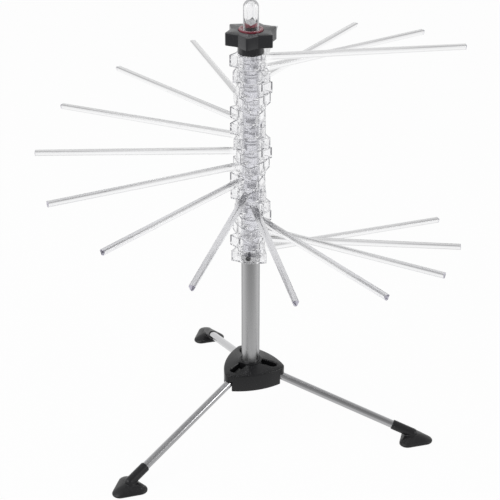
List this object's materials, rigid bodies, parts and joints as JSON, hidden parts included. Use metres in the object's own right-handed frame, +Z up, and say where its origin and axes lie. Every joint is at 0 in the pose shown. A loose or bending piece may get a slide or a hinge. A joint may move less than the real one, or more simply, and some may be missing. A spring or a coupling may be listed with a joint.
{
  "type": "pasta drying rack",
  "caption": "Free-standing pasta drying rack: clear arms fan out in a spiral round a column on splayed folding legs, with a star knob and a clear wand stored in the column.",
  "frame": {"origin": "on the floor, under the column's axis", "axes": "+Z up along the column; +X towards the picture's right and -Y towards its camera; the top arm points 8.5 degrees round from +X"},
  "size_m": [0.4494, 0.4453, 0.4955],
  "materials": {
    "clear_plastic": "clear moulded polycarbonate",
    "black_plastic": "satin black moulded plastic",
    "red_plastic": "glossy dark red moulded plastic",
    "satin_aluminium": "satin anodised tube",
    "polished_metal": "polished tube",
    "steel": "turned steel"
  },
  "bodies": {
    "stand": {"column_tube": "satin_aluminium", "core_sleeve": "clear_plastic", "tube_plug": "black_plastic", "ring_screw": "steel", "arm_16": "clear_plastic", "retaining_ring": "red_plastic", "hub": "black_plastic", "hub_screw": "steel", "leg_pin_1": "steel", "leg_pin_2": "steel", "leg_pin_3": "steel"},
    "knob_and_top_arm": {"knob": "black_plastic", "arm_01": "clear_plastic"},
    "wand": {"wand": "clear_plastic"},
    "arm_02": {"arm_02": "clear_plastic"},
    "arm_03": {"arm_03": "clear_plastic"},
    "arm_04": {"arm_04": "clear_plastic"},
    "arm_05": {"arm_05": "clear_plastic"},
    "arm_06": {"arm_06": "clear_plastic"},
    "arm_07": {"arm_07": "clear_plastic"},
    "arm_08": {"arm_08": "clear_plastic"},
    "arm_09": {"arm_09": "clear_plastic"},
    "arm_10": {"arm_10": "clear_plastic"},
    "arm_11": {"arm_11": "clear_plastic"},
    "arm_12": {"arm_12": "clear_plastic"},
    "arm_13": {"arm_13": "clear_plastic"},
    "arm_14": {"arm_14": "clear_plastic"},
    "arm_15": {"arm_15": "clear_plastic"},
    "leg_1": {"leg_1": "polished_metal", "leg_knuckle_1": "black_plastic", "foot_1": "black_plastic"},
    "leg_2": {"leg_2": "polished_metal", "leg_knuckle_2": "black_plastic", "foot_2": "black_plastic"},
    "leg_3": {"leg_3": "polished_metal", "leg_knuckle_3": "black_plastic", "foot_3": "black_plastic"}
  },
  "joints": [
    {"name": "knob_turn", "type": "hinge", "parent": "stand", "child": "knob_and_top_arm", "pos_m": [0, 0, 0.4416], "axis": [0, 0, 1], "range_deg": [0, 371.25]},
    {"name": "wand_slide", "type": "slide", "parent": "stand", "child": "wand", "axis": [0, 0, 1], "range_m": [0, 0.4]},
    {"name": "arm_turn_02", "type": "hinge", "parent": "stand", "child": "arm_02", "pos_m": [0, 0, 0.41955], "axis": [0, 0, 1], "range_deg": [0, 346.5]},
    {"name": "arm_turn_03", "type": "hinge", "parent": "stand", "child": "arm_03", "pos_m": [0, 0, 0.40485], "axis": [0, 0, 1], "range_deg": [0, 321.75]},
    {"name": "arm_turn_04", "type": "hinge", "parent": "stand", "child": "arm_04", "pos_m": [0, 0, 0.39015], "axis": [0, 0, 1], "range_deg": [0, 297]},
    {"name": "arm_turn_05", "type": "hinge", "parent": "stand", "child": "arm_05", "pos_m": [0, 0, 0.37545], "axis": [0, 0, 1], "range_deg": [0, 272.25]},
    {"name": "arm_turn_06", "type": "hinge", "parent": "stand", "child": "arm_06", "pos_m": [0, 0, 0.36075], "axis": [0, 0, 1], "range_deg": [0, 247.5]},
    {"name": "arm_turn_07", "type": "hinge", "parent": "stand", "child": "arm_07", "pos_m": [0, 0, 0.34605], "axis": [0, 0, 1], "range_deg": [0, 222.75]},
    {"name": "arm_turn_08", "type": "hinge", "parent": "stand", "child": "arm_08", "pos_m": [0, 0, 0.33135], "axis": [0, 0, 1], "range_deg": [0, 198]},
    {"name": "arm_turn_09", "type": "hinge", "parent": "stand", "child": "arm_09", "pos_m": [0, 0, 0.31665], "axis": [0, 0, 1], "range_deg": [0, 173.25]},
    {"name": "arm_turn_10", "type": "hinge", "parent": "stand", "child": "arm_10", "pos_m": [0, 0, 0.30195], "axis": [0, 0, 1], "range_deg": [0, 148.5]},
    {"name": "arm_turn_11", "type": "hinge", "parent": "stand", "child": "arm_11", "pos_m": [0, 0, 0.28725], "axis": [0, 0, 1], "range_deg": [0, 123.75]},
    {"name": "arm_turn_12", "type": "hinge", "parent": "stand", "child": "arm_12", "pos_m": [0, 0, 0.27255], "axis": [0, 0, 1], "range_deg": [0, 99]},
    {"name": "arm_turn_13", "type": "hinge", "parent": "stand", "child": "arm_13", "pos_m": [0, 0, 0.25785], "axis": [0, 0, 1], "range_deg": [0, 74.25]},
    {"name": "arm_turn_14", "type": "hinge", "parent": "stand", "child": "arm_14", "pos_m": [0, 0, 0.24315], "axis": [0, 0, 1], "range_deg": [0, 49.5]},
    {"name": "arm_turn_15", "type": "hinge", "parent": "stand", "child": "arm_15", "pos_m": [0, 0, 0.22845], "axis": [0, 0, 1], "range_deg": [0, 24.75]},
    {"name": "leg_fold_1", "type": "hinge", "parent": "stand", "child": "leg_1", "pos_m": [0.02431, -0.00581, 0.0658], "axis": [0.2326, 0.9726, 0], "range_deg": [0, 70.5]},
    {"name": "leg_fold_2", "type": "hinge", "parent": "stand", "child": "leg_2", "pos_m": [-0.00712, 0.02396, 0.0658], "axis": [-0.9586, -0.2849, 0], "range_deg": [0, 70.5]},
    {"name": "leg_fold_3", "type": "hinge", "parent": "stand", "child": "leg_3", "pos_m": [-0.01719, -0.01815, 0.0658], "axis": [0.726, -0.6877, 0], "range_deg": [0, 70.5]}
  ],
  "couplings": [
    {"joint": "arm_turn_02", "follows": "knob_turn", "ratio": 0.93333},
    {"joint": "arm_turn_03", "follows": "knob_turn", "ratio": 0.86667},
    {"joint": "arm_turn_04", "follows": "knob_turn", "ratio": 0.8},
    {"joint": "arm_turn_05", "follows": "knob_turn", "ratio": 0.73333},
    {"joint": "arm_turn_06", "follows": "knob_turn", "ratio": 0.66667},
    {"joint": "arm_turn_07", "follows": "knob_turn", "ratio": 0.6},
    {"joint": "arm_turn_08", "follows": "knob_turn", "ratio": 0.53333},
    {"joint": "arm_turn_09", "follows": "knob_turn", "ratio": 0.46667},
    {"joint": "arm_turn_10", "follows": "knob_turn", "ratio": 0.4},
    {"joint": "arm_turn_11", "follows": "knob_turn", "ratio": 0.33333},
    {"joint": "arm_turn_12", "follows": "knob_turn", "ratio": 0.26667},
    {"joint": "arm_turn_13", "follows": "knob_turn", "ratio": 0.2},
    {"joint": "arm_turn_14", "follows": "knob_turn", "ratio": 0.13333},
    {"joint": "arm_turn_15", "follows": "knob_turn", "ratio": 0.066667}
  ]
}
